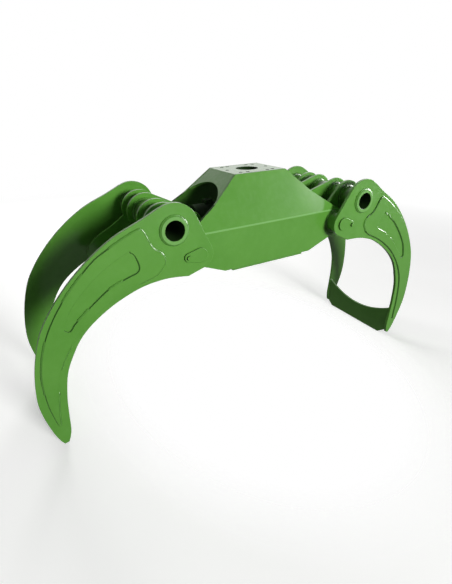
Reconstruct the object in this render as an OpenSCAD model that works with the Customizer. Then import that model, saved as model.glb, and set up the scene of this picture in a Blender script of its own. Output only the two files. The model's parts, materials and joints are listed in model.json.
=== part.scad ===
// Hydraulic log grapple: a welded housing under a rotator flange, two curved
// jaws on short pivot pins, and one double-acting cylinder between the jaws.
// Origin at the centre of the flange's top face, X across the jaws, Z up.

/* [Rotator flange] */
// Length of the top plate along X
top_length = 270; // [230:1:300]
// Width of the housing's top along Y, over the side shells
top_width = 244; // [230:1:260]
// Thickness of the top plate
top_t = 20; // [12:1:30]
// Diameter of the central hole for the hoses
centre_hole_d = 105; // [60:1:115]
// Hole spacing of the square bolt pattern
square_spacing = 173; // [165:1:176]
// Pitch circle of the six-hole bolt pattern
ring_pcd = 213; // [205:1:216]
// Diameter of all rotator bolt holes
bolt_hole_d = 17.5; // [13:0.5:20]

/* [Housing] */
// Distance between the two main pivots
pivot_span = 784; // [700:1:900]
// Depth of the pivots below the top face
pivot_drop = 269; // [250:1:290]
// Depth of the bottom edge below the top face
housing_h = 398; // [385:1:430]
// Depth of the bend in the side shells below the top face
crease_drop = 209; // [180:1:230]
// Width of the housing over its side shells
body_w = 410; // [396:1:420]
// Thickness of the side shells
side_t = 12; // [8:0.5:14]
// Thickness of the sloped end plates
end_t = 12; // [8:0.5:16]
// Slope of the end plates below the horizontal, in degrees
slope_angle = 40.5; // [38:0.5:42]
// Length of the side shells' top edge down that slope
slope_run = 167; // [155:1:175]
// Length of the end plates down the slope
end_run = 138; // [120:1:150]
// Width of each leg beside the arched mouth, at the foot
arch_leg_w = 6; // [4:0.5:16]
// Distance from the top plate to the crown of the arch
arch_crown = 71; // [55:1:85]
// Length of the flat bottom edge of the side shells
bottom_flat = 482; // [420:1:520]
// Length of the bottom plate
bottom_l = 400; // [340:1:440]
// Thickness of the bottom plate
bottom_t = 10; // [6:1:14]
// How far the bottom plate stays inside the side shells
bottom_inset = 4; // [1:0.5:10]
// Radius of the rounded ends of the side shells about the pivots
side_end_r = 64; // [60:1:70]

/* [Pivots] */
// Diameter of the main pivot pins
pivot_pin_d = 50; // [40:1:54]
// Wall of the bush round each pivot pin
bush_t = 5; // [3:0.5:7]
// Outside diameter of the pivot bosses
boss_d = 100; // [84:1:110]
// Side gap between a boss and the plates of the jaw
boss_gap = 1; // [0.5:0.1:2]

/* [Jaw plates] */
// Width of a jaw over its outer plates
jaw_w = 544; // [530:1:560]
// Thickness of the outer plates
plate_t = 15; // [10:1:18]
// Reach of the outer plates outward from the pivot
jaw_reach = 704; // [650:1:760]
// Drop of the blade's corners below the pivot
jaw_drop = 679; // [630:1:730]
// Radius of the outer plates about the torque tube
plate_head_r = 105; // [90:1:112]
// Radius of the outer plates about the pivot
plate_lobe_r = 60; // [50:1:66]
// Thickness of the doubler on each outer plate
doubler_t = 6; // [4:0.5:10]
// Turn of the left jaw from its drawn position towards closed, in degrees
left_turn = 0; // [-2:0.1:4]
// Turn of the right jaw from its drawn position towards closed, in degrees
right_turn = 10.6; // [8:0.1:12]

/* [Torque tube and lugs] */
// Distance from the pivot to the torque tube
tube_arm = 156; // [150:1:170]
// Angle of the torque tube above the horizontal, in degrees
tube_angle = 49.5; // [46:0.5:54]
// Outside diameter of the torque tube
tube_d = 110; // [100:1:114]
// Bore of the torque tube
tube_bore_d = 80; // [70:1:88]
// How far the torque tube stands out of the outer plates
tube_proud = 9; // [7:0.5:14]
// Thickness of the inner lugs and the cylinder horns
lug_t = 15; // [10:1:16]
// Radius of lugs and horns about the torque tube
lug_head_r = 84; // [74:1:88]
// Radius of the inner lugs about the pivot
lug_lobe_r = 66; // [56:1:70]
// Distance between the centres of the two inner lugs
lug_spacing = 304; // [296:1:312]
// Distance between the centres of the two cylinder horns
horn_spacing = 134; // [128:1:140]
// Radius of the horns about the cylinder pin
horn_r = 46; // [40:1:50]
// Thickness of the web between the inner lugs
web_t = 12; // [8:1:14]

/* [Blade] */
// Thickness of the cross blade at the tips
blade_t = 14; // [10:1:16]
// Length of the blade's straight bottom edge
blade_edge_l = 414; // [380:1:440]
// How far the blade reaches below the tips of the outer plates
blade_below = 38; // [20:1:50]
// Height of the blade at the outer plates
blade_side_h = 158; // [130:1:180]
// Depth of the hollow in the blade's top edge
blade_sag = 74; // [50:1:90]

/* [Cylinder] */
// Distance from the pivot to the cylinder pin
ram_arm = 100; // [96:1:103]
// Angle of the cylinder pin from straight outward, in degrees
ram_angle = 128.5; // [126:0.5:131]
// Diameter of the cylinder pins
ram_pin_d = 40; // [32:1:44]
// Outside diameter of the cylinder barrel
barrel_d = 110; // [100:1:114]
// Bore of the cylinder
bore_d = 90; // [82:1:94]
// Diameter of the piston rod
rod_d = 50; // [45:1:56]
// Radial gap of the piston and the rod in the barrel
ram_gap = 1.4; // [1.2:0.1:2]
// Length of the piston
piston_l = 60; // [45:1:70]
// Length of the barrel with its cap
barrel_l = 480; // [450:1:495]
// Length of the gland
gland_l = 46; // [35:1:60]
// Gap behind the piston with the jaws as drawn
piston_back_gap = 66; // [63:1:100]
// Outside diameter of both cylinder eyes
eye_d = 84; // [76:1:88]
// Width of both cylinder eyes
eye_w = 110; // [100:1:114]
// Diameter of the rod eye's neck
neck_d = 66; // [56:1:76]
// Length of the rod eye's neck
neck_l = 14; // [8:1:30]
// Side length of the square port blocks
port_w = 36; // [30:1:40]
// Height of the port blocks above the barrel
port_h = 16; // [10:1:24]
// Diameter of the tapped port holes
port_hole_d = 17; // [12:0.5:20]

/* [Pins and locks] */
// Thickness of the lock flag on a pivot pin
flag_t = 8; // [6:0.5:10]
// Radius of the lock flag about the pin
flag_r = 32; // [30:1:38]
// Distance from the pin to the lock bolt
flag_reach = 52; // [48:1:60]
// Radius of the lock flag about its bolt
flag_tab_r = 18; // [14:0.5:20]
// Shank diameter of the lock bolt
lock_d = 12; // [8:1:14]
// Width of the lock bolt's head over its flats
lock_head_w = 18; // [14:1:20]
// Height of the lock bolt's head
lock_head_h = 7.5; // [5:0.5:9]
// How far the pins stand out of the lugs and of the retaining rings
pin_proud = 3; // [1:0.5:4]
// Thickness of the retaining rings on the cylinder pins
ring_t = 3; // [2:0.5:4]
// Radial height of the retaining rings
ring_h = 6; // [4:0.5:8]

/* [Hidden] */
// Degrees in a full turn
full_turn = 360;

green = [0.36, 0.64, 0.25];
steel = [0.55, 0.56, 0.57];
bronze = [0.62, 0.5, 0.3];

// Facets of a true round
round_fn = 96;
// Segments of an outline's arcs and of each stretch of its curves
arc_steps = 16;
curve_steps = 5;
// Overrun of every cut
over = 1;
// Running gap of a pin in its bush
pin_gap = 0.08;

pivot_x = pivot_span / 2;
plate_out_y = jaw_w / 2;
plate_in_y = plate_out_y - plate_t;
lug_out_y = (lug_spacing + lug_t) / 2;
lug_in_y = (lug_spacing - lug_t) / 2;
boss_in_y = lug_out_y + boss_gap;
boss_out_y = plate_in_y - boss_gap;
tube = [tube_arm * cos(tube_angle), tube_arm * sin(tube_angle)];
ram = [ram_arm * cos(ram_angle), ram_arm * sin(ram_angle)];

// Straight shapes of the jaw outlines as shares of jaw_reach and jaw_drop,
// from the head down to the tip and from the tip back up to the pivot
outer_shares = [[0.219, 0.311], [0.318, 0.262], [0.443, 0.208], [0.540, 0.150], [0.640, 0.073],
    [0.743, -0.027], [0.837, -0.144], [0.911, -0.270], [0.968, -0.446], [0.9985, -0.625],
    [0.997, -0.755], [0.971, -0.905], [0.947, -0.985], [0.930, -1.018]];
inner_shares = [[0.905, -1.013], [0.890, -0.972], [0.878, -0.920], [0.867, -0.800], [0.853, -0.680], [0.822, -0.535],
    [0.772, -0.425], [0.715, -0.335], [0.640, -0.262], [0.532, -0.190], [0.427, -0.142],
    [0.340, -0.115], [0.242, -0.103], [0.160, -0.106], [0.080, -0.118]];
doubler_shares = [[0.320, 0.206], [0.362, 0.207], [0.500, 0.142], [0.607, 0.073], [0.766, -0.097],
    [0.878, -0.277], [0.942, -0.477], [0.955, -0.660], [0.945, -0.790], [0.928, -0.872],
    [0.915, -0.780], [0.893, -0.650], [0.842, -0.475], [0.744, -0.326], [0.612, -0.208],
    [0.473, -0.131], [0.366, -0.092], [0.291, -0.071], [0.251, -0.049], [0.227, -0.018],
    [0.215, 0.003], [0.217, 0.035], [0.229, 0.060], [0.268, 0.091], [0.289, 0.127]];
window_shares = [[0.372, 0.070], [0.392, 0.096], [0.420, 0.100], [0.570, 0.014], [0.716, -0.121],
    [0.778, -0.222], [0.787, -0.258], [0.760, -0.274], [0.725, -0.234], [0.643, -0.165],
    [0.537, -0.087], [0.437, -0.046], [0.376, -0.026], [0.357, 0.006]];
// Outer and lower edges of the inner lugs' arms
lug_outer_shares = [[0.263, 0.140], [0.300, 0.112], [0.340, 0.086], [0.382, 0.062], [0.426, 0.038],
    [0.463, 0.014], [0.505, -0.028], [0.528, -0.075]];
lug_lower_shares = [[0.520, -0.114], [0.470, -0.128], [0.341, -0.098], [0.220, -0.090]];
// Foot and side of the blade's inner face
blade_shares = [[0.896, -1], [0.867, -0.800]];
// Ends of the web between the inner lugs
web_shares = [[0.190, -0.066], [0.440, -0.096]];

// Point at an angle on a circle
function polar(c, r, a) = c + r * [cos(a), sin(a)];
function arc(c, r, a0, a1) = [for (i = [0 : arc_steps]) polar(c, r, a0 + (a1 - a0) * i / arc_steps)];
function scaled(shares) = [for (s = shares) [s.x * jaw_reach, s.y * jaw_drop]];
// Point between b and c on a smooth curve through a, b, c and d
function smooth(a, b, c, d, t) =
    0.5 * (2 * b + t * (c - a) + t * t * (2 * a - 5 * b + 4 * c - d)
        + t * t * t * (3 * b - a - 3 * c + d));
function at(p, i) = p[min(max(i, 0), len(p) - 1)];
function open_curve(p) = concat([for (i = [0 : len(p) - 2]) for (k = [0 : curve_steps - 1])
    smooth(at(p, i - 1), p[i], p[i + 1], at(p, i + 2), k / curve_steps)], [p[len(p) - 1]]);
function closed_curve(p) = let (n = len(p)) [for (i = [0 : n - 1]) for (k = [0 : curve_steps - 1])
    smooth(p[(i + n - 1) % n], p[i], p[(i + 1) % n], p[(i + 2) % n], k / curve_steps)];
// Angle of the normal to the outer tangent of two circles, on the left of the line c0 to c1
function tangent_normal(c0, r0, c1, r1) =
    let (d = c1 - c0) atan2(d.y, d.x) + acos((r0 - r1) / norm(d));

// Housing outline, seen from the front

pivot = [pivot_x, -pivot_drop];
// Top corner of a side shell, and the foot of its slope, where the long edge to the pivot starts
slope_top = [top_length / 2, 0];
slope_foot = slope_top + slope_run * [cos(slope_angle), -sin(slope_angle)];
long_edge_angle = let (d = pivot - slope_foot) atan2(-d.y, d.x) - asin(side_end_r / norm(d));
bottom_corner = [bottom_flat / 2, -housing_h];
bottom_touch_angle = let (d = bottom_corner - pivot) atan2(d.y, d.x) + acos(side_end_r / norm(d));

module housing_outline() {
    half = concat([bottom_corner],
        arc(pivot, side_end_r, bottom_touch_angle, 90 - long_edge_angle), [slope_foot, slope_top]);
    polygon(concat(half, [for (i = [len(half) - 1 : -1 : 0]) [-half[i].x, half[i].y]]));
}

// Inside half width of the housing at the top, and the depth of the bend on the inside
shell_bend = (body_w - top_width) / 2 / crease_drop;
slanted_t = side_t * sqrt(1 + shell_bend * shell_bend);
inner_top = top_width / 2 - slanted_t;
inner_low = body_w / 2 - side_t;
inner_bend = (inner_low - inner_top) / shell_bend;

// Band of the side shell's bent section, on the front side
module side_section() {
    polygon([[-top_width / 2, 0], [-body_w / 2, -crease_drop], [-body_w / 2, -housing_h],
        [-inner_low, -housing_h], [-inner_low, -inner_bend], [-inner_top, 0]]);
}

// Space between the slanted parts of the two side shells
module between_shells() {
    rotate([90, 0, 90])
    linear_extrude(height = pivot_span * 2, center = true)
    polygon([[-inner_top, 0], [-inner_low, -inner_bend], [inner_low, -inner_bend], [inner_top, 0]]);
}

module housing_side() {
    color(green)
    difference() {
        intersection() {
            rotate([90, 0, 90])
            linear_extrude(height = pivot_span * 2, center = true)
            side_section();
            rotate([90, 0, 0])
            linear_extrude(height = body_w)
            housing_outline();
        }
        for (side = [-1, 1])
        translate([side * pivot_x, 0, -pivot_drop])
        rotate([90, 0, 0])
        cylinder(d = boss_d, h = body_w, $fn = round_fn);
    }
}

module top_plate() {
    color(green)
    difference() {
        intersection() {
            translate([-top_length / 2, -top_width / 2, -top_t])
            cube([top_length, top_width, top_t]);
            between_shells();
        }
        translate([0, 0, -top_t - over])
        cylinder(d = centre_hole_d, h = top_t + 2 * over, $fn = round_fn);
        for (x = [-1, 1]) for (y = [-1, 1])
        translate([x * square_spacing / 2, y * square_spacing / 2, -top_t - over])
        cylinder(d = bolt_hole_d, h = top_t + 2 * over, $fn = round_fn);
        for (i = [0 : 5])
        rotate([0, 0, 60 * i])
        translate([ring_pcd / 2, 0, -top_t - over])
        cylinder(d = bolt_hole_d, h = top_t + 2 * over, $fn = round_fn);
    }
}

// Sloped plate between the side shells' top edges, with an arched mouth
module end_plate() {
    arch_half = inner_top + shell_bend * end_run * sin(slope_angle) - arch_leg_w;
    arch = [for (i = [0 : 2 * arc_steps])
        let (a = 90 * (i / arc_steps - 1))
        [end_run - (end_run - arch_crown) * pow(cos(a), 1.6), arch_half * sin(a)]];
    color(green)
    difference() {
        intersection() {
            translate([top_length / 2, 0, 0])
            rotate([0, slope_angle, 0])
            translate([0, 0, -end_t])
            linear_extrude(height = end_t)
            difference() {
                translate([-end_t, -body_w / 2])
                square([end_t + end_run, body_w]);
                polygon(concat([[end_run + over, -arch_half]], arch, [[end_run + over, arch_half]]));
            }
            between_shells();
        }
        translate([top_length / 2 - top_length, -top_width, -top_length])
        cube([top_length, 2 * top_width, 2 * top_length]);
    }
}

module bottom_plate() {
    color(green)
    translate([-bottom_l / 2, bottom_inset - body_w / 2, -housing_h - bottom_t])
    cube([bottom_l, body_w - 2 * bottom_inset, bottom_t]);
}

// Welded tube in the front side of the housing, on the right pivot
module pivot_boss() {
    color(green)
    translate([pivot_x, -boss_in_y, -pivot_drop])
    rotate([90, 0, 0])
    difference() {
        cylinder(d = boss_d, h = boss_out_y - boss_in_y, $fn = round_fn);
        translate([0, 0, -over])
        cylinder(d = pivot_pin_d + 2 * bush_t, h = boss_out_y - boss_in_y + 2 * over, $fn = round_fn);
    }
}

module pivot_bush() {
    color(bronze)
    translate([pivot_x, -boss_in_y, -pivot_drop])
    rotate([90, 0, 0])
    difference() {
        cylinder(d = pivot_pin_d + 2 * bush_t, h = boss_out_y - boss_in_y, $fn = round_fn);
        translate([0, 0, -over])
        cylinder(d = pivot_pin_d + 2 * pin_gap, h = boss_out_y - boss_in_y + 2 * over, $fn = round_fn);
    }
}

// Places of the two jaws: children are drawn with the pivot at the origin and X outward

module in_right_jaw() {
    translate([pivot_x, 0, -pivot_drop])
    rotate([0, right_turn, 0])
    children();
}

module in_left_jaw() {
    mirror([1, 0, 0])
    translate([pivot_x, 0, -pivot_drop])
    rotate([0, left_turn, 0])
    children();
}

module in_back() {
    mirror([0, 1, 0])
    children();
}

// Flat piece on the front side of a jaw, from the outer face at y to the inner one
module front_sheet(y, thickness) {
    translate([0, thickness - y, 0])
    rotate([90, 0, 0])
    linear_extrude(height = thickness)
    children();
}

// Round hole or shaft along Y, from the outer end at y inward
module along_y(place, d, y, length) {
    translate([place.x, length - y, place.y])
    rotate([90, 0, 0])
    cylinder(d = d, h = length, $fn = round_fn);
}

module plate_outline() {
    side_normal = tangent_normal([0, 0], plate_lobe_r, tube, plate_head_r);
    corner = scaled([inner_shares[len(inner_shares) - 1]])[0];
    lobe_start = atan2(corner.y, corner.x) - acos(plate_lobe_r / norm(corner));
    head_end = scaled([outer_shares[0]])[0];
    head_end_angle = let (d = head_end - tube) atan2(d.y, d.x);
    polygon(concat(
        arc(tube, plate_head_r, side_normal, head_end_angle + 2),
        open_curve(scaled(outer_shares)),
        open_curve(scaled(inner_shares)),
        arc([0, 0], plate_lobe_r, lobe_start, side_normal - full_turn)));
}

module jaw_plate() {
    color(green)
    difference() {
        front_sheet(plate_out_y, plate_t)
        plate_outline();
        along_y(tube, tube_d, plate_out_y + over, plate_t + 2 * over);
        along_y([0, 0], pivot_pin_d, plate_out_y + over, plate_t + 2 * over);
        along_y([flag_reach, 0], lock_d, plate_out_y + over, plate_t + 2 * over);
    }
}

module jaw_doubler() {
    color(green)
    front_sheet(plate_out_y + doubler_t, doubler_t)
    difference() {
        polygon(closed_curve(scaled(doubler_shares)));
        polygon(closed_curve(scaled(window_shares)));
    }
}

module jaw_lug() {
    side_normal = tangent_normal([0, 0], lug_lobe_r, tube, lug_head_r);
    arm = scaled(lug_outer_shares);
    head_leave = let (d = arm[0] - tube) atan2(d.y, d.x);
    low = scaled(lug_lower_shares);
    last = low[len(low) - 1];
    lobe_start = atan2(last.y, last.x) - acos(lug_lobe_r / norm(last));
    color(green)
    difference() {
        front_sheet(lug_out_y, lug_t)
        polygon(concat(
            arc(tube, lug_head_r, side_normal, head_leave),
            arm, low,
            arc([0, 0], lug_lobe_r, lobe_start, side_normal - full_turn)));
        along_y(tube, tube_d, lug_out_y + over, lug_t + 2 * over);
        along_y([0, 0], pivot_pin_d, lug_out_y + over, lug_t + 2 * over);
    }
}

module jaw_horn() {
    side_normal = tangent_normal(ram, horn_r, tube, lug_head_r);
    low_normal = tangent_normal(tube, lug_head_r, ram, horn_r);
    horn_out_y = (horn_spacing + lug_t) / 2;
    color(green)
    difference() {
        front_sheet(horn_out_y, lug_t)
        polygon(concat(
            arc(tube, lug_head_r, side_normal, low_normal),
            arc(ram, horn_r, low_normal, side_normal - full_turn)));
        along_y(tube, tube_d, horn_out_y + over, lug_t + 2 * over);
        along_y(ram, ram_pin_d, horn_out_y + over, lug_t + 2 * over);
    }
}

module torque_tube() {
    tube_out_y = plate_out_y + tube_proud;
    color(green)
    difference() {
        along_y(tube, tube_d, tube_out_y, 2 * tube_out_y);
        along_y(tube, tube_bore_d, tube_out_y + over, 2 * (tube_out_y + over));
    }
}

// Cross plate between the tips, standing on the inner edge of the outer plates
module blade() {
    tip = scaled(blade_shares)[0];
    upper = scaled(blade_shares)[1];
    lean = atan2(tip.x - upper.x, upper.y - tip.y);
    half = plate_in_y;
    edge = blade_edge_l / 2;
    hollow = [for (i = [0 : 2 * arc_steps])
        let (u = i / arc_steps - 1) [u * half, blade_side_h - blade_sag * (1 - u * u)]];
    color(green)
    translate([tip.x, 0, tip.y])
    rotate([0, -lean, 0])
    rotate([90, 0, 90])
    linear_extrude(height = blade_t)
    polygon(concat([[half, 0], [edge, -blade_below], [-edge, -blade_below], [-half, 0]], hollow));
}

// Flat cross plate that ties the inner lugs
module jaw_web() {
    ends = scaled(web_shares);
    d = ends[1] - ends[0];
    color(green)
    translate([ends[0].x, -lug_in_y, ends[0].y])
    rotate([0, -atan2(d.y, d.x), 0])
    cube([norm(d), 2 * lug_in_y, web_t]);
}

// Short pin with a welded lock flag on its outer end
module pivot_pin() {
    flag_out_y = plate_out_y + flag_t;
    color(green)
    difference() {
        union() {
            along_y([0, 0], pivot_pin_d, plate_out_y, plate_out_y - lug_in_y + pin_proud);
            front_sheet(flag_out_y, flag_t)
            flag_outline();
        }
        along_y([flag_reach, 0], lock_d, flag_out_y + over, flag_t + 2 * over);
    }
}

module flag_outline() {
    lean = acos((flag_r - flag_tab_r) / flag_reach);
    polygon(concat(
        arc([0, 0], flag_r, lean, full_turn - lean),
        arc([flag_reach, 0], flag_tab_r, -lean, lean)));
}

// Two hexagon bolts that hold the lock flags, one on each side of a jaw
module lock_bolts() {
    flag_out_y = plate_out_y + flag_t;
    color(green)
    for (side = [0, 1])
    mirror([0, side, 0]) {
        along_y([flag_reach, 0], lock_d, flag_out_y, flag_t + plate_t);
        translate([flag_reach, -flag_out_y, 0])
        rotate([90, 0, 0])
        cylinder(d = lock_head_w / cos(30), h = lock_head_h, $fn = 6);
    }
}

module ram_pin() {
    pin_out_y = (horn_spacing + lug_t) / 2 + ring_t + pin_proud;
    color(steel)
    along_y(ram, ram_pin_d, pin_out_y, 2 * pin_out_y);
}

module ram_pin_rings() {
    horn_out_y = (horn_spacing + lug_t) / 2;
    color(steel)
    for (side = [0, 1])
    mirror([0, side, 0])
    difference() {
        along_y(ram, ram_pin_d + 2 * ring_h, horn_out_y + ring_t, ring_t);
        along_y(ram, ram_pin_d, horn_out_y + ring_t + over, ring_t + 2 * over);
    }
}

// Cylinder, drawn along X from the base eye at the origin

function turned(p, a) = [p.x * cos(a) + p.y * sin(a), p.y * cos(a) - p.x * sin(a)];
left_ram = let (p = turned(ram, left_turn)) [-pivot_x - p.x, p.y - pivot_drop];
right_ram = let (p = turned(ram, right_turn)) [pivot_x + p.x, p.y - pivot_drop];
ram_l = norm(right_ram - left_ram);
ram_slope = let (d = right_ram - left_ram) atan2(d.y, d.x);

eye_r = eye_d / 2;
eye_bore_d = ram_pin_d + 2 * bush_t;
cap_l = eye_r;
barrel_start = eye_r - bush_t;
gland_start = barrel_start + barrel_l - gland_l;
piston_x = barrel_start + cap_l + piston_back_gap;

module in_ram() {
    translate([left_ram.x, 0, left_ram.y])
    rotate([0, -ram_slope, 0])
    children();
}

// Round piece along X, between two places
module along_x(d, x0, x1) {
    translate([x0, 0, 0])
    rotate([0, 90, 0])
    cylinder(d = d, h = x1 - x0, $fn = round_fn);
}

module eye(x) {
    translate([x, 0, 0])
    rotate([90, 0, 0])
    cylinder(d = eye_d, h = eye_w, center = true, $fn = round_fn);
}

module eye_bore(x) {
    translate([x, 0, 0])
    rotate([90, 0, 0])
    cylinder(d = eye_bore_d, h = eye_w + 2 * over, center = true, $fn = round_fn);
}

module eye_bush(x) {
    color(bronze)
    translate([x, 0, 0])
    rotate([90, 0, 0])
    difference() {
        cylinder(d = eye_bore_d, h = eye_w, center = true, $fn = round_fn);
        cylinder(d = ram_pin_d + 2 * pin_gap, h = eye_w + 2 * over, center = true, $fn = round_fn);
    }
}

module ram_barrel() {
    color(green)
    difference() {
        along_x(barrel_d, barrel_start + cap_l, barrel_start + barrel_l);
        along_x(bore_d, barrel_start + cap_l - over, barrel_start + barrel_l + over);
    }
}

// Base cap with the eye for the left cylinder pin
module ram_base_eye() {
    color(green)
    difference() {
        union() {
            eye(0);
            along_x(barrel_d, barrel_start, barrel_start + cap_l);
        }
        eye_bore(0);
    }
}

module ram_gland() {
    color(steel)
    difference() {
        along_x(bore_d, gland_start, barrel_start + barrel_l);
        along_x(rod_d + 2 * ram_gap, gland_start - over, barrel_start + barrel_l + over);
    }
}

// Two square blocks with tapped holes for the hoses, on top of the barrel
module ram_ports() {
    block_h = (barrel_d - bore_d) / 2 + port_h;
    color(green)
    for (x = [barrel_start + cap_l + port_w, gland_start - port_w])
    difference() {
        translate([x - port_w / 2, -port_w / 2, bore_d / 2])
        cube([port_w, port_w, block_h]);
        along_x(barrel_d, x - port_w, x + port_w);
        translate([x, 0, bore_d / 2])
        cylinder(d = port_hole_d, h = block_h + over, $fn = round_fn);
    }
}

module piston() {
    color(steel)
    difference() {
        along_x(bore_d - 2 * ram_gap, piston_x, piston_x + piston_l);
        along_x(rod_d, piston_x - over, piston_x + piston_l + over);
    }
}

module piston_rod() {
    color(steel)
    along_x(rod_d, piston_x, ram_l - eye_r - neck_l);
}

module ram_rod_eye() {
    color(green)
    difference() {
        union() {
            eye(ram_l);
            along_x(neck_d, ram_l - eye_r - neck_l, ram_l);
        }
        eye_bore(ram_l);
    }
}

top_plate();
housing_side();  // housing_side_front
in_back() housing_side();  // housing_side_back
mirror([1, 0, 0]) end_plate();  // end_plate_left
end_plate();  // end_plate_right
bottom_plate();
mirror([1, 0, 0]) pivot_boss();  // pivot_boss_front_left
pivot_boss();  // pivot_boss_front_right
in_back() mirror([1, 0, 0]) pivot_boss();  // pivot_boss_back_left
in_back() pivot_boss();  // pivot_boss_back_right
mirror([1, 0, 0]) pivot_bush();  // pivot_bush_front_left
pivot_bush();  // pivot_bush_front_right
in_back() mirror([1, 0, 0]) pivot_bush();  // pivot_bush_back_left
in_back() pivot_bush();  // pivot_bush_back_right

in_left_jaw() jaw_plate();  // left_front_plate
in_back() in_left_jaw() jaw_plate();  // left_back_plate
in_left_jaw() jaw_doubler();  // left_front_doubler
in_back() in_left_jaw() jaw_doubler();  // left_back_doubler
in_left_jaw() jaw_lug();  // left_front_lug
in_back() in_left_jaw() jaw_lug();  // left_back_lug
in_left_jaw() jaw_horn();  // left_front_horn
in_back() in_left_jaw() jaw_horn();  // left_back_horn
in_left_jaw() torque_tube();  // left_torque_tube
in_left_jaw() blade();  // left_blade
in_left_jaw() jaw_web();  // left_web
in_left_jaw() pivot_pin();  // left_front_pivot_pin
in_back() in_left_jaw() pivot_pin();  // left_back_pivot_pin
in_left_jaw() lock_bolts();  // left_lock_bolts
in_left_jaw() ram_pin();  // left_ram_pin
in_left_jaw() ram_pin_rings();  // left_ram_pin_rings

in_right_jaw() jaw_plate();  // right_front_plate
in_back() in_right_jaw() jaw_plate();  // right_back_plate
in_right_jaw() jaw_doubler();  // right_front_doubler
in_back() in_right_jaw() jaw_doubler();  // right_back_doubler
in_right_jaw() jaw_lug();  // right_front_lug
in_back() in_right_jaw() jaw_lug();  // right_back_lug
in_right_jaw() jaw_horn();  // right_front_horn
in_back() in_right_jaw() jaw_horn();  // right_back_horn
in_right_jaw() torque_tube();  // right_torque_tube
in_right_jaw() blade();  // right_blade
in_right_jaw() jaw_web();  // right_web
in_right_jaw() pivot_pin();  // right_front_pivot_pin
in_back() in_right_jaw() pivot_pin();  // right_back_pivot_pin
in_right_jaw() lock_bolts();  // right_lock_bolts
in_right_jaw() ram_pin();  // right_ram_pin
in_right_jaw() ram_pin_rings();  // right_ram_pin_rings

in_ram() ram_barrel();
in_ram() ram_base_eye();
in_ram() eye_bush(0);  // ram_base_eye_bush
in_ram() ram_gland();
in_ram() ram_ports();
in_ram() piston();
in_ram() piston_rod();
in_ram() ram_rod_eye();
in_ram() eye_bush(ram_l);  // ram_rod_eye_bush
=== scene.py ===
import json
import math
import random

import bmesh
import bpy
from mathutils import Matrix, Vector


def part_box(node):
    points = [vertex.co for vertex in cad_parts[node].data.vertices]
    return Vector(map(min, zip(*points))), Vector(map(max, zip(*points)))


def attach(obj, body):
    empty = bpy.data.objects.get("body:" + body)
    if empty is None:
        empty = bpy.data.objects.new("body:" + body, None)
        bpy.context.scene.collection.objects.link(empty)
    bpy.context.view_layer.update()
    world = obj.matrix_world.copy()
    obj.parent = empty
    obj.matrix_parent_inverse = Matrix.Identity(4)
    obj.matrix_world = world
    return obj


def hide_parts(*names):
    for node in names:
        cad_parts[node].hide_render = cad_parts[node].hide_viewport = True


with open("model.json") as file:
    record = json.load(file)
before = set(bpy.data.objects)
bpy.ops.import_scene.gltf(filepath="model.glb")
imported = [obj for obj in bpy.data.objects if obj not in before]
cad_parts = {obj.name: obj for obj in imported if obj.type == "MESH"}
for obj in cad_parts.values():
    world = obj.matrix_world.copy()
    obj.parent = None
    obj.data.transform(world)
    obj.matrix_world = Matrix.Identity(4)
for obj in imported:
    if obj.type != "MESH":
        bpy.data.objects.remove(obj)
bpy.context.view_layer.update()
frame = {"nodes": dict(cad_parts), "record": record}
NODES = frame["nodes"]
BODIES = frame["record"]["behaviour"]["bodies"]
BODY_OF = {node: body for body, nodes in BODIES.items() for node in nodes}
SLOT_OF = {part["node"]: part["material_slot"] for part in frame["record"]["subparts"]}


# Node trees

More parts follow.
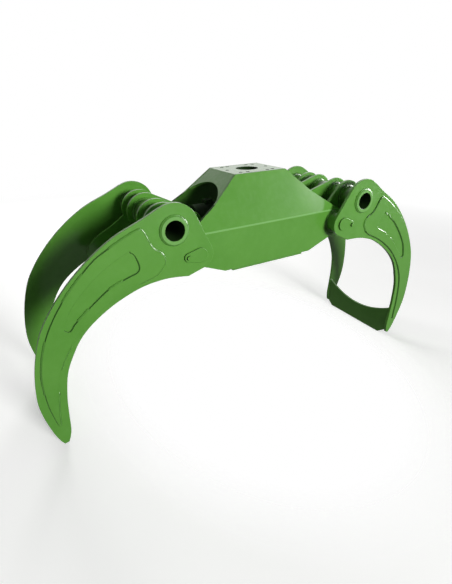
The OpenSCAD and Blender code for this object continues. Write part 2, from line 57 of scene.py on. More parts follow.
class Tree:
    """Short calls for building the nodes of a material or of the world."""

    # Sockets of a Mix node by the kind of its data: first input, second input and output
    MIX = {"RGBA": (6, 7, 2), "FLOAT": (2, 3, 0)}

    def __init__(self, owner, shader="Principled BSDF"):
        owner.use_nodes = True
        self.nodes = owner.node_tree.nodes
        self.links = owner.node_tree.links
        self.shader = self.nodes[shader]

    def link(self, source, target):
        self.links.new(source, target)

    def fill(self, node, inputs):
        """Give a node's inputs their values: a number, a colour or another node's output."""
        for socket, value in inputs.items():
            if isinstance(value, (int, float, tuple)):
                node.inputs[socket].default_value = value
            else:
                self.link(value, node.inputs[socket])

    def new(self, kind, inputs=None, **settings):
        """A node with its settings and its inputs' values."""
        node = self.nodes.new(kind)
        for key, value in settings.items():
            setattr(node, key, value)
        self.fill(node, inputs or {})
        return node

    def surface(self, **inputs):
        """Fill the shader's inputs, named here with _ for each space."""
        self.fill(self.shader, {key.replace("_", " "): value for key, value in inputs.items()})

    def place(self, scale=(1, 1, 1)):
        """Place on the object in metres, times a scale along each axis."""
        where = self.new("ShaderNodeTexCoord").outputs["Object"]
        return self.new("ShaderNodeMapping", {"Vector": where, "Scale": scale}).outputs["Vector"]

    def noise(self, where, scale, detail=3.0, roughness=0.5):
        inputs = {"Vector": where, "Scale": scale, "Detail": detail, "Roughness": roughness}
        return self.new("ShaderNodeTexNoise", inputs).outputs["Fac"]

    def ramp(self, value, low, high, to_low=0.0, to_high=1.0, kind="LINEAR"):
        """From to_low to to_high while the value goes from low to high, and level outside."""
        inputs = {"Value": value, "From Min": low, "From Max": high, "To Min": to_low, "To Max": to_high}
        node = self.new("ShaderNodeMapRange", inputs, interpolation_type=kind, clamp=True)
        return node.outputs["Result"]

    def math(self, kind, *values):
        return self.new("ShaderNodeMath", dict(enumerate(values)), operation=kind).outputs["Value"]

    def mix(self, factor, a, b, kind="RGBA"):
        """Colour or number a, which turns into b as the factor goes from 0 to 1."""
        first, second, result = self.MIX[kind]
        node = self.new("ShaderNodeMix", data_type=kind)
        self.fill(node, {0: factor, first: a, second: b})
        return node.outputs[result]

    def bump(self, height, distance, strength, normal=None):
        node = self.new("ShaderNodeBump", {"Height": height, "Distance": distance, "Strength": strength})
        if normal is not None:
            self.link(normal, node.inputs["Normal"])
        return node.outputs["Normal"]

    def attribute(self, name):
        return self.new("ShaderNodeAttribute", attribute_name=name).outputs["Fac"]

    def split(self, vector):
        """X, Y and Z of a vector."""
        node = self.new("ShaderNodeSeparateXYZ", {"Vector": vector})
        return [node.outputs[axis] for axis in "XYZ"]

    def length(self, vector):
        return self.new("ShaderNodeVectorMath", {0: vector}, operation="LENGTH").outputs["Value"]

    def up(self):
        """How far the surface faces up: 1 for a level one, 0 for an upright one."""
        return self.split(self.new("ShaderNodeNewGeometry").outputs["Normal"])[2]


# Materials

# Strength of the clear gloss on the enamel and on the welds, and of the gloss under it
COAT = 0.9
WELD_COAT = 1.0
UNDER_GLOSS = 0.3
# Scale of each grain of the enamel, as cells in a metre
GRAIN = {"cloud": 5.0, "mottle": 42.0, "chip": 120.0, "fine": 260.0, "speck": 900.0}
# Height of the enamel's unevenness in metres
UNEVEN = {"cloud": 0.0011, "mottle": 0.0006, "fine": 0.00012}
ENAMEL = {
    "dark": (0.112, 0.340, 0.045, 1),
    "light": (0.130, 0.372, 0.054, 1),
    "mottle": (0.165, 0.42, 0.085, 1),
    "dust": (0.34, 0.44, 0.28, 1),
    "grime": (0.035, 0.12, 0.018, 1),
    "chip": (0.10, 0.085, 0.07, 1),
    "speck": (0.06, 0.17, 0.03, 1),
    # The colour below is the pale green of the painted highlight on up-facing edges and bends
    "thin": (0.235, 0.52, 0.15, 1),
    # The colour below is the near black of the painted shade
    "painted_shade": (0.010, 0.024, 0.009, 1),
}
# How much rougher than the enamel the dust and the places of painted shade are
DUST_MATT, SHADE_MATT = 0.25, 0.45
# Share of the clear gloss that is worn off the edges
EDGE_WORN = 0.75
# Share of the painted highlight's pale green on the housing's bends
BEND_HIGHLIGHT = 0.9


def green_paint():
    """Glossy sprayed enamel on flame-cut plate."""
    material = bpy.data.materials.new("green_enamel")
    t = Tree(material)
    here, up = t.place(), t.up()
    cloud = t.noise(here, GRAIN["cloud"], detail=4.0, roughness=0.55)
    mottle = t.noise(here, GRAIN["mottle"], detail=3.0, roughness=0.6)
    base = t.mix(t.ramp(cloud, low=0.35, high=0.68), ENAMEL["dark"], ENAMEL["light"])
    base = t.mix(t.ramp(mottle, low=0.45, high=0.75, to_high=0.2), base, ENAMEL["mottle"])
    # Dust that settles on what faces up
    edge = t.attribute("edge")
    settled = t.ramp(mottle, low=0.4, high=0.72, to_low=0.05, to_high=0.5)
    dust = t.math("MULTIPLY", t.ramp(up, low=0.35, high=0.95), settled)
    dust = t.math("MULTIPLY", dust, t.math("SUBTRACT", t.attribute("dusty"), edge))
    dust = t.math("MAXIMUM", dust, 0.0)
    base = t.mix(dust, base, ENAMEL["dust"])
    # Grime and chips along the edges, specks all over, and a painted highlight on the edges that face up
    # and on the bends
    grime = t.math("MULTIPLY", edge, t.ramp(cloud, low=0.4, high=0.6, to_high=0.3))
    base = t.mix(grime, base, ENAMEL["grime"])
    chip = t.noise(here, GRAIN["chip"], detail=5.0, roughness=0.7)
    chip = t.math("MULTIPLY", edge, t.ramp(chip, low=0.67, high=0.70))
    base = t.mix(chip, base, ENAMEL["chip"])
    speck = t.noise(here, GRAIN["speck"], detail=2.0, roughness=0.6)
    base = t.mix(t.ramp(speck, low=0.80, high=0.84, to_high=0.5), base, ENAMEL["speck"])
    # Painted highlight in pale green on the edges that face up, on the housing's bends and on the torque
    # tubes' ends
    thin = t.math("MULTIPLY", edge, t.ramp(up, low=0.0, high=0.6, to_high=0.4))
    thin = t.math("MAXIMUM", t.math("MULTIPLY", t.attribute("bend"), BEND_HIGHLIGHT), thin)
    base = t.mix(thin, base, ENAMEL["thin"])
    # Painted shade, near black, in the steps, the tubes' bores, the housing's inside, on the blades and on
    # the cylinder; those places also lose the clear gloss and turn matt
    shade_share = t.attribute("painted_shade")
    base = t.mix(shade_share, base, ENAMEL["painted_shade"])
    matt = t.math("MAXIMUM", t.math("MULTIPLY", dust, DUST_MATT), t.math("MULTIPLY", shade_share, SHADE_MATT))
    rough = t.math("ADD", t.ramp(mottle, low=0.3, high=0.7, to_low=0.30, to_high=0.42), matt)
    worn = t.math("MAXIMUM", t.math("MULTIPLY", edge, EDGE_WORN), shade_share)
    fine_grain = t.noise(here, GRAIN["fine"], detail=2.0, roughness=0.5)
    normal = t.bump(cloud, UNEVEN["cloud"], strength=0.5)
    normal = t.bump(mottle, UNEVEN["mottle"], strength=0.5, normal=normal)
    normal = t.bump(fine_grain, UNEVEN["fine"], strength=0.6, normal=normal)
    t.surface(Base_Color=base, Roughness=rough, Normal=normal, Specular_IOR_Level=UNDER_GLOSS,
              Coat_Weight=t.ramp(worn, low=0.0, high=1.0, to_low=COAT, to_high=0.0), Coat_Roughness=0.12)
    return material


# Distance between the ripples of a weld, and their height
RIPPLE = 0.0045
RIPPLE_HIGH = 0.0004
# Scale of each grain of the welds, as cells in a metre, and the height of the finer one
WELD_GRAIN = {"cloud": 9.0, "fine": 180.0}
WELD_UNEVEN = 0.0009
WELD_GREEN = {
    "dark": (0.115, 0.35, 0.048, 1),
    "light": (0.160, 0.44, 0.075, 1),
    "cloud": (0.07, 0.22, 0.03, 1),
    # The colour below is the near black of the painted shade along a bead's sides and over the corner
    # strips
    "painted_shade": (0.012, 0.045, 0.010, 1),
}


def weld_paint():
    """The same enamel over a rippled bead, thicker, with painted shade along the bead's sides."""
    material = bpy.data.materials.new("green_weld")
    t = Tree(material)
    here = t.place()
    grain = t.noise(here, WELD_GRAIN["fine"], detail=4.0, roughness=0.6)
    cloud = t.noise(here, WELD_GRAIN["cloud"], detail=2.0)
    base = t.mix(t.ramp(grain, low=0.35, high=0.7), WELD_GREEN["dark"], WELD_GREEN["light"])
    base = t.mix(t.ramp(cloud, low=0.5, high=0.8, to_high=0.2), base, WELD_GREEN["cloud"])
    # Painted shade along the bead's sides and over the corner strips
    base = t.mix(t.attribute("painted_shade"), base, WELD_GREEN["painted_shade"])
    rough = t.ramp(grain, low=0.3, high=0.7, to_low=0.26, to_high=0.40)
    wave = t.math("SINE", t.math("MULTIPLY", t.attribute("along"), 2 * math.pi / RIPPLE))
    normal = t.bump(wave, RIPPLE_HIGH, strength=0.8)
    normal = t.bump(grain, WELD_UNEVEN, strength=0.6, normal=normal)
    t.surface(Base_Color=base, Roughness=rough, Normal=normal, Specular_IOR_Level=UNDER_GLOSS,
              Coat_Weight=WELD_COAT, Coat_Roughness=0.1)
    return material


# Scale of a bare metal's turned lines and of its stains, as cells in a metre
LINES, STAINS = 90.0, 14.0
# Height of the turned lines, and how much rougher their rough parts are
LINE_HIGH = 0.0002
LINE_ROUGH = 0.14
STAIN = (0.16, 0.13, 0.10, 1)


def turned_metal(name, dark, light, rough, across):
    """Bare metal with fine lines from turning and a few stains."""
    material = bpy.data.materials.new(name)
    t = Tree(material)
    lines = t.noise(t.place(across), LINES, detail=4.0, roughness=0.7)
    stain = t.noise(t.place(), STAINS, detail=4.0, roughness=0.6)
    base = t.mix(t.ramp(lines, low=0.35, high=0.7), dark, light)
    base = t.mix(t.ramp(stain, low=0.55, high=0.75, to_high=0.5), base, STAIN)
    line_rough = t.ramp(lines, low=0.3, high=0.7, to_low=rough, to_high=rough + LINE_ROUGH)
    stain_rough = t.ramp(stain, low=0.5, high=0.8, to_high=0.2)
    t.surface(Base_Color=base, Metallic=1.0, Roughness=t.math("ADD", line_rough, stain_rough),
              Normal=t.bump(lines, LINE_HIGH, strength=0.5))
    return material


# Scale along X, Y and Z that makes the lines run round a pin, which lies along Y, and round the rod
ROUND_PIN, ROUND_ROD = (1, 6, 1), (8, 1, 1)
GREEN = green_paint()
WELD = weld_paint()
STEEL = turned_metal("turned_steel", dark=(0.36, 0.35, 0.34, 1), light=(0.56, 0.56, 0.57, 1),
                     rough=0.3, across=ROUND_PIN)
CHROME = turned_metal("rod_chrome", dark=(0.68, 0.69, 0.71, 1), light=(0.82, 0.83, 0.84, 1),
                      rough=0.08, across=ROUND_ROD)
BRONZE = turned_metal("bush_bronze", dark=(0.42, 0.29, 0.13, 1), light=(0.62, 0.46, 0.22, 1),
                      rough=0.3, across=ROUND_PIN)
FINISH = {"green_paint": GREEN, "steel": STEEL, "rod_chrome": CHROME, "bush_bronze": BRONZE}


# Places on the CAD pieces

HOUSING_TOP = ("top_plate", "end_plate_left", "end_plate_right", "housing_side_front", "housing_side_back")
CYLINDER = ("ram_barrel", "ram_base_eye", "ram_ports", "ram_rod_eye")
THIN = ("doubler", "rings", "bush", "gland", "piston", "lock_bolts", "ports", "ram_pin")
TOP_LOW, TOP_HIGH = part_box("top_plate")
# Where the front side shell's inner face is along Y at the top
SHELL_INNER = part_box("housing_side_front")[1].y
# Half width of a jaw over its plates, without the flags and tubes that stand out
HALF_WIDTH = -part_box("left_front_plate")[0].y
# Lowest point of the joints between the side shells and the end plates
JOINT_LOW = -0.115
# How near an edge lies to such a joint when it is a part of it
ON_JOINT = 0.0003
# How near two corners are that are one, and how near a seam is to its plane
SAME_CORNER = 0.00001
ON_PLANE = 0.0001
# Faces that meet at an angle under FLAT are one. Edges above SHARP are broken, and the long edges
# of a side shell between the two of BEND are its bends.
FLAT = math.radians(0.6)
SHARP = math.radians(17)
BEND = (math.radians(15), math.radians(30))
LONG_BEND = 0.3
# Width of a broken edge and of a bend's round, and the number of faces across each
BEVEL = {"plate": 0.0022, "thin": 0.0012, "bend": 0.007}
EDGE_FACES, BEND_FACES = 3, 5


def middle(node):
    """Middle of a node's box."""
    low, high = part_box(node)
    return (low + high) / 2


def outer_radius(node):
    """Radius of a round node that lies along Y."""
    low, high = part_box(node)
    return (high.z - low.z) / 2


def end_y(node, way):
    """Where a node ends on the near side for way -1, and on the far side for way 1."""
    low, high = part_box(node)
    return low.y if way < 0 else high.y


def solid(node):
    """A node's CAD mesh, with each flat face whole again."""
    bm = bmesh.new()
    bm.from_mesh(NODES[node].data)
    bmesh.ops.remove_doubles(bm, verts=bm.verts, dist=SAME_CORNER)
    bmesh.ops.dissolve_limit(bm, angle_limit=FLAT, verts=bm.verts, edges=bm.edges)
    return bm


def add(name, mesh, material):
    """An object of this mesh and material in the scene."""
    mesh.materials.append(material)
    thing = bpy.data.objects.new(name, mesh)
    bpy.context.scene.collection.objects.link(thing)
    return thing


# Rounded copies of the CAD pieces

# How dark each kind of place is painted as shade: walls and steps that face away from the light, the
# cylinder, the tubes' bores, the housing's inside, the top plate's holes, the blades and the corner
# strips; the joint line beside the end plates is darkened the same way
SHADE_LEVEL = {"step": 0.85, "cylinder": 0.96, "bore": 0.88, "inside": 0.45, "hole": 0.95, "joint": 0.3,
        "blade": 0.3, "corner": 0.7}
# Attributes of the faces that the enamel's nodes read: edges, the painted highlight of bends and tube
# ends, painted shade, and dust
WEAR_AND_PAINTED_LIGHT = ("edge", "bend", "painted_shade", "dusty")
# How much dust the housing's top and everything else takes
TOP_DUST, OTHER_DUST = 1.0, 0.2
# Share of the painted highlight on the ends of the torque tubes
TUBE_END_HIGHLIGHT = 0.6
# Least part of a face's normal along an axis when the face is turned towards it, when it is a
# torque tube's end, and when it is the top plate's face rather than a hole's edge or wall
TURNED = 0.5
TUBE_END = 0.9
TOP_FACE = 0.98
# A side shell's cut edge has more than this of its normal along Z, and less than this along Y
CUT_UP, CUT_SIDE = 0.3, 0.6
# Share of the top plate's half size that all its holes lie within
HOLES_WITHIN = 0.95


def flush(edge):
    """Whether an edge lies where the housing's top is welded and ground flush."""
    a, b = (v.co for v in edge.verts)
    slant = (TOP_HIGH.y + SHELL_INNER) / TOP_LOW.z

    def by_shell(p):
        return abs(abs(p.y) + SHELL_INNER - slant * p.z) < ON_JOINT and p.z > JOINT_LOW

    def by_end_plate(p):
        return abs(abs(p.x) - TOP_HIGH.x) < ON_JOINT and p.z > TOP_LOW.z - ON_JOINT

    along_shell = by_shell(a) and by_shell(b)
    along_end_plate = by_end_plate(a) and by_end_plate(b) and abs(a.y - b.y) > TOP_HIGH.y
    return along_shell or along_end_plate


def shell_edge(node, face):
    """Whether a face is a side shell's cut edge, beside an end plate."""
    return "housing_side" in node and abs(face.normal.y) < CUT_SIDE and face.normal.z > CUT_UP


def painted_shade(node, face):
    """How dark a face of a piece is painted as shade."""
    if node in CYLINDER:
        return SHADE_LEVEL["cylinder"]
    if "blade" in node:
        return SHADE_LEVEL["blade"]
    centre, normal = face.calc_center_median(), face.normal
    if "housing_side" in node and normal.y * centre.y < -TURNED * abs(centre.y):
        return SHADE_LEVEL["inside"]
    if node in HOUSING_TOP and normal.z < -TURNED and "side" not in node:
        return SHADE_LEVEL["inside"]
    near = abs(centre.x) < HOLES_WITHIN * TOP_HIGH.x and abs(centre.y) < HOLES_WITHIN * TOP_HIGH.y
    if node == "top_plate" and near and abs(normal.z) < TOP_FACE:
        return SHADE_LEVEL["hole"]
    # The shell's cut edge: darker at the joint beside the end plate, painted shade below it
    if shell_edge(node, face):
        return SHADE_LEVEL["joint"] if centre.z > JOINT_LOW else SHADE_LEVEL["step"]
    if abs(normal.y) > TURNED:
        return 0.0
    if "doubler" in node:
        return SHADE_LEVEL["step"]
    if ("pivot_pin" in node or "lock_bolts" in node) and abs(centre.y) > HALF_WIDTH:
        return SHADE_LEVEL["step"]
    if "torque_tube" in node and normal.dot(centre - middle(node)) < 0:
        return SHADE_LEVEL["bore"]
    return 0.0


def edges_between(bm, low, high=math.inf):
    """Edges whose two faces meet at an angle between low and high."""
    return [e for e in bm.edges if len(e.link_faces) == 2 and low < e.calc_face_angle(0) < high]


def bevel(bm, edges, width, faces):
    """Round edges off, and give the new faces."""
    done = bmesh.ops.bevel(bm, geom=edges, offset=width, offset_type="OFFSET", segments=faces,
                           profile=0.5, affect="EDGES", clamp_overlap=True)
    return done["faces"]


def rounded(node):
    """A copy of a CAD piece with its sharp edges broken, as cut and painted steel has them."""
    bm = solid(node)
    for name in WEAR_AND_PAINTED_LIGHT:
        bm.faces.layers.float.new(name)
    edge, bend, dark, dusty = (bm.faces.layers.float[name] for name in WEAR_AND_PAINTED_LIGHT)
    if "housing_side" in node:
        bends = [e for e in edges_between(bm, *BEND)
                 if abs(e.verts[0].co.x - e.verts[1].co.x) > LONG_BEND]
        # The bends' round faces carry the painted highlight
        for face in bevel(bm, bends, BEVEL["bend"], BEND_FACES):
            face[bend] = 1.0
    sharp = edges_between(bm, SHARP)
    if node in HOUSING_TOP:
        for e in sharp:
            e.smooth = not flush(e)
        sharp = [e for e in sharp if e.smooth]
    width = BEVEL["thin"] if any(word in node for word in THIN) else BEVEL["plate"]
    for face in bevel(bm, sharp, width, EDGE_FACES):
        face[edge] = 1.0
    for face in bm.faces:
        face.smooth = True
        # How dark the face is painted as shade
        face[dark] = painted_shade(node, face)
        face[dusty] = TOP_DUST if node in HOUSING_TOP and not shell_edge(node, face) else OTHER_DUST
        # The torque tubes' end faces carry part of the painted highlight
        if "torque_tube" in node and abs(face.normal.y) > TUBE_END:
            face[bend] = TUBE_END_HIGHLIGHT
    mesh = bpy.data.meshes.new("round_" + node)
    bm.to_mesh(mesh)
    bm.free()
    piece = add("round_" + node, mesh, FINISH[SLOT_OF[node]])
    weighted = piece.modifiers.new("normals", "WEIGHTED_NORMAL")
    weighted.weight = 100
    weighted.mode = "FACE_AREA"
    weighted.keep_sharp = True
    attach(piece, BODY_OF[node])
    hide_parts(node)


for node in NODES:
    rounded(node)


# Weld beads

Y_AXIS = Vector((0, 1, 0))
# Number of points round a collar, and the places across a bead, from one edge to the other
RING_POINTS = 72
BEAD_ARC = [i / 4 for i in range(5)]
# How far a bead swells, how deep its root lies, and how its size wavers
BULGE = 0.22
BURIED = 0.0006
WAVER = (0.93, 1.07)
# Least share of the full size at an open bead's ends, before its square root is taken
END_SHARE = 0.1
# At a corner of its path a bead reaches out by at most one over this
CORNER_LEAST = 0.6
# Painted shade along a bead's two sides, where it meets the plate and the wall, and how fast it fades
# towards its middle
BEAD_SIDE_SHADE = 0.5
BEAD_SIDE_SHADE_FADE = 3
# Distance between the points along a bead, and along a stitch
BEAD_STEP = 0.012
STITCH_STEP = 0.005
# Size of each bead from the corner to its two edges
LEG = {"collar": 0.008, "outer_collar": 0.0065, "stitch": 0.0058, "blade": 0.004, "web": 0.006,
       "boss": 0.007, "bottom": 0.0036}
# The outer collars of a torque tube are those this near to its end
OUTER_COLLAR = 0.02
# Width of the painted shade strips in the doublers' corners
SHADE_STRIP_LEG = {"left": 0.003, "right": 0.005}
# A wall gets a painted shade strip unless its normal has more than this part towards the right, where the
# light comes from
RIGHTWARD = 0.1
# A face of the solid lies across Y when its normal's part along Y is above the first, and it is a
# wall below the second
ACROSS_Y, WALL_Y = 0.99, 0.5
# Stitches round the doublers, as shares of the outer edge and of the window's edge, from the top
# on, first towards the left
STITCHES = {
    "left": (((0.844, 1.069), (0.130, 0.195), (0.273, 0.394), (0.481, 0.564), (0.614, 0.670)),
             ((0.538, 0.618), (0.728, 0.808))),
    "right": (((0.069, 0.112), (0.862, 0.888), (0.932, 1.002)),
              ((0.100, 0.227), (0.282, 0.365), (0.877, 1.000))),
}
# Seeds of the beads' wavering
SEED = {"left": 11, "right": 21, "housing": 31}
# The near and the far side, and which way each faces along Y
PLACES = (("front", -1), ("back", 1))


def walls(bm, level):
    """Edges on the plane y = level where a wall meets a face across Y, each with its wall's normal."""
    found = {}
    for e in bm.edges:
        if any(abs(v.co.y - level) > ON_PLANE for v in e.verts) or len(e.link_faces) != 2:
            continue
        flat, wall = sorted(e.link_faces, key=lambda face: -abs(face.normal.y))
        if abs(flat.normal.y) > ACROSS_Y and abs(wall.normal.y) < WALL_Y:
            found[e] = wall.normal.copy()
    return found


def seams(node, level):
    """Edge paths of a piece on the plane y = level, the longest first, each with whether it is
    closed. A path starts at its highest point, first towards the left, and its points have the
    wall's outward normal beside them."""
    bm = solid(node)
    wall = walls(bm, level)
    left = set(wall)
    loops = []
    while left:
        top = max((v for e in left for v in e.verts), key=lambda v: (v.co.z, v.co.x))
        here, loop = top, []
        while not loop or here != top:
            following = [e for e in here.link_edges if e in left]
            if not following:
                break
            e = min(following, key=lambda e: e.other_vert(here).co.x)
            loop.append((here, e))
            left.discard(e)
            here = e.other_vert(here)
        points = []
        for i, (v, e) in enumerate(loop):
            before = wall[loop[i - 1][1]]
            out = (before + wall[e]).normalized()
            points.append((v.co.copy(), out / max(out.dot(wall[e]), CORNER_LEAST)))
        closed = here == top
        if not closed:
            points.append((here.co.copy(), wall[loop[-1][1]]))
        loops.append((points, closed))
    bm.free()
    loops.sort(key=lambda loop: length(loop[0]), reverse=True)
    return loops


def length(loop):
    """Length of a path, with the way back from its end to its start."""
    return sum((loop[i][0] - loop[i - 1][0]).length for i in range(len(loop)))


def between(row, following, share):
    """The point and its normal at a share of the way from one row to the next."""
    (a, out_a), (b, out_b) = row, following
    return a.lerp(b, share), out_a.lerp(out_b, share)


def stretch(loop, start, end):
    """The part of a closed path between two shares of its length."""
    total, rows, run = length(loop), [], 0.0
    for i in range(2 * len(loop)):
        row, following = loop[i % len(loop)], loop[(i + 1) % len(loop)]
        step = (following[0] - row[0]).length / total
        low, high = max(start, run), min(end, run + step)
        if low < high:
            if not rows:
                rows.append(between(row, following, (low - run) / step))
            rows.append(between(row, following, (high - run) / step))
        run += step
    return rows


def shaded(rows):
    """The runs of a path whose wall doesn't face right, where a painted shade strip goes in the corner."""
    runs = [[]]
    for row in rows:
        if row[1].x < RIGHTWARD:
            runs[-1].append(row)
        elif runs[-1]:
            runs.append([])
    return [run for run in runs if len(run) > 1]


def ring(centre, radius):
    """Points of a circle about an axis along Y, each with its outward direction."""
    side = Y_AXIS.orthogonal().normalized()
    other = Y_AXIS.cross(side)
    rows = []
    for i in range(RING_POINTS):
        a = 2 * math.pi * i / RING_POINTS
        out = side * math.cos(a) + other * math.sin(a)
        rows.append((Vector(centre) + out * radius, out))
    return rows


def fine(rows, closed, step):
    """The same path with points about a step apart."""
    result = []
    count = len(rows) if closed else len(rows) - 1
    for i in range(count):
        row, following = rows[i], rows[(i + 1) % len(rows)]
        parts = max(1, int((following[0] - row[0]).length / step))
        result += [between(row, following, k / parts) for k in range(parts)]
    if not closed:
        result.append(rows[-1])
    return result


class Beads:
    """Fillet welds of one part of the grapple, and strips of painted shade, gathered in one mesh."""

    def __init__(self, name, body, seed):
        self.name, self.body = name, body
        self.random = random.Random(seed)
        self.points, self.faces, self.along, self.painted_shade = [], [], [], []

    def point(self, place, along, dark):
        self.points.append(tuple(place))
        self.along.append(along)
        self.painted_shade.append(dark)

    def fillet(self, rows, up, leg, closed=True, step=BEAD_STEP, dark=0.0):
        """A bead along a path in a corner, with a plate that faces up beside a wall that faces the
        rows' outward directions."""
        rows = fine(rows, closed, step)
        up = Vector(up)
        run = self.random.random()
        done = [0.0]
        for i in range(1, len(rows)):
            done.append(done[-1] + (rows[i][0] - rows[i - 1][0]).length)
        first = len(self.points)
        for (place, out), way in zip(rows, done):
            size = leg * self.random.uniform(*WAVER)
            if not closed:
                share = max(min(way, done[-1] - way) / leg, END_SHARE)
                size *= math.sqrt(min(1.0, share))
            self.point(place - (out + up) * BURIED, run + way, 0.0)
            for t in BEAD_ARC:
                a = t * math.pi / 2
                reach = size / (math.cos(a) + math.sin(a)) * (1 + BULGE * math.sin(2 * a))
                # Painted shade along the bead's two sides
                at_side = BEAD_SIDE_SHADE * abs(2 * t - 1) ** BEAD_SIDE_SHADE_FADE
                self.point(place + out * (reach * math.cos(a)) + up * (reach * math.sin(a)),
                           run + way, max(dark, at_side))
        self.skin(first, len(rows), closed)

    def skin(self, first, count, closed):
        """Faces over a bead's points, with ends where the bead is open."""
        width = len(BEAD_ARC) + 1
        for i in range(count if closed else count - 1):
            a, b = first + i * width, first + (i + 1) % count * width
            for k in range(width):
                m = (k + 1) % width
                self.faces.append((a + k, a + m, b + m, b + k))
        if not closed:
            last = first + (count - 1) * width
            self.faces.append(tuple(first + k for k in range(width)))
            self.faces.append(tuple(last + k for k in reversed(range(width))))

    def make(self):
        mesh = bpy.data.meshes.new(self.name)
        mesh.from_pydata(self.points, [], self.faces)
        for name, values in (("along", self.along), ("painted_shade", self.painted_shade)):
            mesh.attributes.new(name, "FLOAT", "POINT").data.foreach_set("value", values)
        bm = bmesh.new()
        bm.from_mesh(mesh)
        bmesh.ops.recalc_face_normals(bm, faces=bm.faces)
        for face in bm.faces:
            face.smooth = True
        bm.to_mesh(mesh)
        bm.free()
        piece = add(self.name, mesh, WELD)
        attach(piece, self.body)


def tube_welds(side, seed):
    """Collars where a jaw's torque tube passes through its plates, lugs and horns."""
    beads = Beads(side + "_tube_welds", side + "_jaw", seed)
    tube = side + "_torque_tube"
    centre = middle(tube)
    for place, _ in PLACES:
        for plate in ("plate", "lug", "horn"):
            for way in (-1, 1):
                level = end_y(f"{side}_{place}_{plate}", way)
                outer = abs(level) > abs(end_y(tube, -1)) - OUTER_COLLAR
                leg = LEG["outer_collar"] if outer else LEG["collar"]
                rows = ring((centre.x, level, centre.z), outer_radius(tube))
                beads.fillet(rows, (0, way, 0), leg)
    beads.make()


def doubler_welds_and_shade(side, seed):
    """Stitches round a jaw's doublers, and painted shade strips in the corners whose walls face away from
    the light.
    """
    beads = Beads(side + "_doubler_welds_and_shade", side + "_jaw", seed)
    for place, way in PLACES:
        node = f"{side}_{place}_doubler"
        for (loop, _), stitches in zip(seams(node, end_y(node, -way)), STITCHES[side]):
            for start, end in stitches:
                rows = stretch(loop, start, end)
                beads.fillet(rows, (0, way, 0), LEG["stitch"], closed=False, step=STITCH_STEP)
            # Dark strips of painted shade beside the walls that face away from the light
            for run in shaded(loop + loop[:1]):
                beads.fillet(run, (0, way, 0), SHADE_STRIP_LEG[side], closed=False, dark=SHADE_LEVEL["corner"])
    beads.make()


def blade_welds(side, seed):
    """Welds of a jaw's blade on its plates, and of the web between its lugs."""
    beads = Beads(side + "_blade_welds", side + "_jaw", seed)
    blade, web = side + "_blade", side + "_web"
    outward = -1 if side == "left" else 1
    for place, way in PLACES:
        faces = (outward, -outward) if place == "back" else (outward,)
        for loop, _ in seams(blade, end_y(blade, way)):
            for face in faces:
                rows = [row for row in loop if row[1].x * face > TURNED]
                if len(rows) == 2:
                    beads.fillet(rows, (0, -way, 0), LEG["blade"], closed=False)
        for loop, closed in seams(web, end_y(web, way)):
            beads.fillet(loop, (0, -way, 0), LEG["web"], closed)
    beads.make()


def housing_welds(seed):
    """Welds round the pivot bosses and along the bottom plate."""
    beads = Beads("housing_welds", "housing", seed)
    for end in ("left", "right"):
        for place, way in PLACES:
            boss = f"pivot_boss_{place}_{end}"
            centre, level = middle(boss), end_y("housing_side_front", -1) * -way
            rows = ring((centre.x, level, centre.z), outer_radius(boss))
            beads.fillet(rows, (0, way, 0), LEG["boss"])
    low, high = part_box("bottom_plate")
    for _, way in PLACES:
        rows = [(Vector((x, high.y * way, high.z)), Y_AXIS * way) for x in (low.x, high.x)]
        beads.fillet(rows, (0, 0, -1), LEG["bottom"], closed=False)
    beads.make()


for side in ("left", "right"):
    tube_welds(side, SEED[side])
    doubler_welds_and_shade(side, SEED[side] + 1)
    blade_welds(side, SEED[side] + 2)
housing_welds(SEED["housing"])


# Stage

# The floor passes under the edges of both blades, so it slopes a little in the housing's frame
LEFT_EDGE = Vector((-1.0235, 0, -0.983))
RIGHT_EDGE = Vector((0.8816, 0, -1.087))
FLOOR_HALF = 14.0
# Own glow of the pale floor near the object, which only the camera sees
FLOOR_GLOW = 0.4
# Where the floor starts and ends turning into the white backdrop
COVE = (2.2, 5.5)
# Half sizes of the oval opening under the middle, into which the jaws' tips reach as they close,
# and the share of them at which its soft edge starts
OPENING = (0.94, 1.3)
OPENING_EDGE = 0.75
# Scale of the floor's soft clouds, as cells in a metre, and its two shades
FLOOR_CLOUD = 1.5
FLOOR_PALE = ((0.80, 0.80, 0.79, 1), (0.84, 0.84, 0.83, 1))
# Colour of the floor in gloss and as a bounce
FLOOR_GLOSS = (0.30, 0.30, 0.29, 1)
FLOOR_BOUNCE = (0.13, 0.13, 0.125, 1)
BLACK, WHITE = (0, 0, 0, 1), (1, 1, 1, 1)


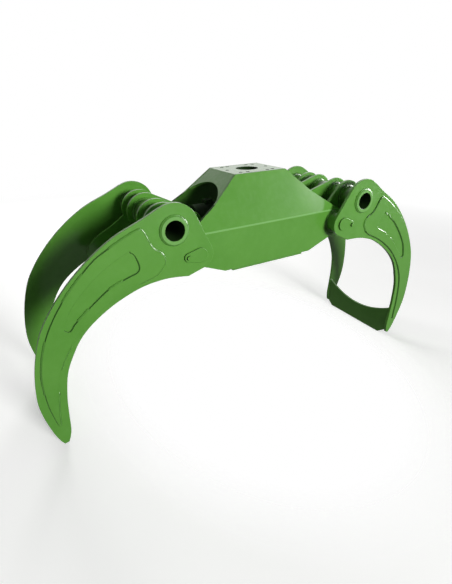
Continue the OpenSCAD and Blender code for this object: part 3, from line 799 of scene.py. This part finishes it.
def floor_paint():
    """Pale to the camera, darker in gloss and as a bounce, so that it lights the object little."""
    material = bpy.data.materials.new("floor")
    t = Tree(material)
    here = t.place()
    path = t.new("ShaderNodeLightPath")
    far = t.ramp(t.length(here), *COVE)
    pale = t.mix(t.ramp(t.noise(here, FLOOR_CLOUD), low=0.3, high=0.7), *FLOOR_PALE)
    seen = t.mix(path.outputs["Is Glossy Ray"], t.mix(far, pale, BLACK), FLOOR_GLOSS)
    glow = t.ramp(far, low=0.0, high=1.0, to_low=FLOOR_GLOW, to_high=1.0)
    t.surface(Base_Color=t.mix(path.outputs["Is Diffuse Ray"], seen, FLOOR_BOUNCE), Roughness=0.9,
              Specular_IOR_Level=0.0, Emission_Color=WHITE,
              Emission_Strength=t.math("MULTIPLY", glow, path.outputs["Is Camera Ray"]))
    reach = t.length(t.place((1 / OPENING[0], 1 / OPENING[1], 0)))
    open_share = t.ramp(reach, low=OPENING_EDGE, high=1.0, to_low=1.0, to_high=0.0)
    clear = t.new("ShaderNodeBsdfTransparent").outputs["BSDF"]
    blend = t.new("ShaderNodeMixShader", {0: open_share, 1: t.shader.outputs["BSDF"], 2: clear})
    t.link(blend.outputs["Shader"], t.nodes["Material Output"].inputs["Surface"])
    return material


def stage():
    """The floor, wide enough to end out of sight."""
    centre = (LEFT_EDGE + RIGHT_EDGE) / 2
    along = (RIGHT_EDGE - LEFT_EDGE).normalized()
    places = [centre + (along * a + Y_AXIS * b) * FLOOR_HALF
              for a, b in ((-1, -1), (1, -1), (1, 1), (-1, 1))]
    mesh = bpy.data.meshes.new("floor")
    mesh.from_pydata([tuple(place) for place in places], [], [(0, 1, 2, 3)])
    floor = add("floor", mesh, floor_paint())


stage()


# Light

# Middle of what the lamps point at
AIM = Vector((0, 0, -0.4))


def lamp(name, azimuth, elevation, distance, size, level, diffuse=True, glossy=True):
    """An area lamp seen from AIM at these angles, azimuth from the front to the right.
    Level is what a white surface facing it would show."""
    light = bpy.data.lights.new(name, "AREA")
    light.shape = "RECTANGLE"
    light.size, light.size_y = size
    light.energy = level * (math.pi * distance) ** 2
    thing = bpy.data.objects.new(name, light)
    a, e = math.radians(azimuth), math.radians(elevation)
    way = Vector((math.sin(a) * math.cos(e), -math.cos(a) * math.cos(e), math.sin(e)))
    thing.location = AIM + way * distance
    thing.rotation_euler = way.to_track_quat("Z", "Y").to_euler()
    thing.visible_diffuse = diffuse
    thing.visible_glossy = glossy
    bpy.context.scene.collection.objects.link(thing)


lamp("key", azimuth=7.8, elevation=15, distance=6.4, size=(1.6, 1.2), level=0.84, glossy=False)
lamp("back", azimuth=180, elevation=25, distance=5.0, size=(3.0, 2.0), level=0.65, glossy=False)
lamp("window", azimuth=76, elevation=13, distance=5.0, size=(3.2, 2.4), level=1.6, diffuse=False)
lamp("door", azimuth=52, elevation=19, distance=5.0, size=(1.3, 1.3), level=0.06, diffuse=False)

# Strength of the world in front of the object and behind it, for diffuse light and for gloss
SKY_DIFFUSE = (0.07, 0.22)
SKY_GLOSS = (0.08, 0.85)
# Share of that gloss on the left and on the right
SKY_SIDES = (0.25, 1.2)
# Share of the strength that is left below the horizon, seen only through the floor's opening
SKY_BELOW = 0.35
# Parts of a direction along Y, X and Z between which the front turns into the back, the left
# into the right and what is below the horizon into what is above it
FRONT_TO_BACK = (-0.3, 0.7)
LEFT_TO_RIGHT = (-0.4, 0.4)
HORIZON = (-0.1, 0.0)


def sky():
    """White to the camera; for the object a pale wall behind it and a dim room in front."""
    world = bpy.data.worlds.new("sky")
    t = Tree(world, "Background")
    path = t.new("ShaderNodeLightPath")
    x, y, z = t.split(t.new("ShaderNodeTexCoord").outputs["Generated"])
    diffuse = t.ramp(y, *FRONT_TO_BACK, *SKY_DIFFUSE, kind="SMOOTHSTEP")
    gloss = t.ramp(y, *FRONT_TO_BACK, *SKY_GLOSS, kind="SMOOTHSTEP")
    gloss = t.math("MULTIPLY", gloss, t.ramp(x, *LEFT_TO_RIGHT, *SKY_SIDES))
    level = t.mix(path.outputs["Is Glossy Ray"], diffuse, gloss, kind="FLOAT")
    level = t.math("MULTIPLY", level, t.ramp(z, *HORIZON, to_low=SKY_BELOW))
    level = t.mix(path.outputs["Is Camera Ray"], level, 1.0, kind="FLOAT")
    t.surface(Strength=level, Color=WHITE)
    bpy.context.scene.world = world


sky()
bpy.context.scene.view_settings.view_transform = "Standard"


# Camera at the photo's angle

# Yaw, pitch and roll in degrees, and the focal length in pixels of a frame 452 px wide
YAW, PITCH, ROLL = 28.770, 26.621, -1.388
FOCAL_PX = 375.64
FRAME_PX = 452
CAMERA_AT = Vector((-0.98858, -1.56743, 0.27414))
# Width of the sensor in mm, and how far the camera sees in metres
SENSOR = 36.0
FAR = 60


def camera():
    """The camera of the photo's view."""
    yaw, pitch, roll = (math.radians(a) for a in (YAW, PITCH, ROLL))
    forward = Vector((math.sin(yaw) * math.cos(pitch), math.cos(yaw) * math.cos(pitch), -math.sin(pitch)))
    level = Vector((math.cos(yaw), -math.sin(yaw), 0))
    above = level.cross(forward)
    right = math.cos(roll) * level + math.sin(roll) * above
    up = -math.sin(roll) * level + math.cos(roll) * above
    data = bpy.data.cameras.new("camera")
    data.sensor_fit = "HORIZONTAL"
    data.sensor_width = SENSOR
    data.lens = SENSOR * FOCAL_PX / FRAME_PX
    data.clip_end = FAR
    thing = bpy.data.objects.new("camera", data)
    turn = Matrix((right, up, -forward)).transposed().to_4x4()
    thing.matrix_world = Matrix.Translation(CAMERA_AT) @ turn
    bpy.context.scene.collection.objects.link(thing)
    bpy.context.scene.camera = thing


camera()
